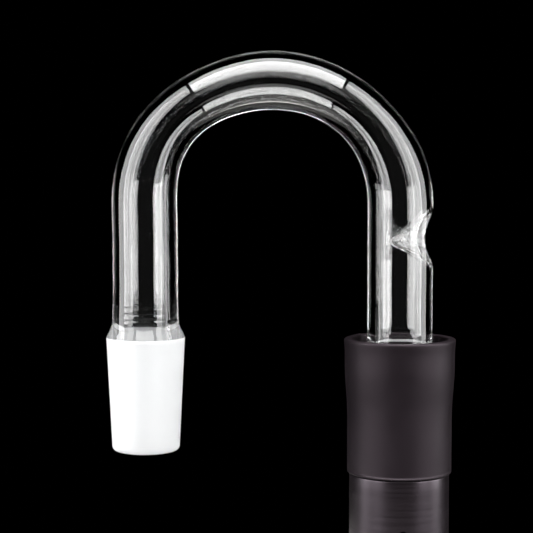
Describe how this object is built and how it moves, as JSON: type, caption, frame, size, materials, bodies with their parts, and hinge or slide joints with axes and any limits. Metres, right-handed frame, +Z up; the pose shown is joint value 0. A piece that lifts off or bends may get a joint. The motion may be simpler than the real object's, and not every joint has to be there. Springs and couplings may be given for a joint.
{
  "type": "u-bend glass adapter",
  "caption": "Clear glass U-bend tube with a ground taper joint on its free leg and a soft sleeve joining its other leg to a metal barrel.",
  "frame": {"origin": "centre of the barrel's lower end", "axes": "+Z up along the barrel, the sleeve and the dimpled leg; the bend runs towards -X; the barrel's air hole faces -Y"},
  "size_m": [0.0646, 0.0208, 0.1078],
  "materials": {
    "black_anodised": "satin black anodised",
    "black_silicone": "matte moulded silicone",
    "clear_glass": "clear fire-polished borosilicate",
    "ground_glass": "white ground frosting"
  },
  "bodies": {
    "barrel": {"barrel_tube": "black_anodised"},
    "sleeve": {"connector_sleeve": "black_silicone"},
    "glass": {"u_bend_tube": "clear_glass", "ground_joint": "ground_glass", "socket_foot": "clear_glass"}
  },
  "joints": [
    {"name": "sleeve_pull", "type": "slide", "parent": "barrel", "child": "sleeve", "axis": [0, 0, 1], "range_m": [0, 0.0125]},
    {"name": "glass_swivel", "type": "hinge", "parent": "sleeve", "child": "glass", "pos_m": [0, 0, 0.05], "axis": [0, 0, 1], "continuous": true}
  ]
}
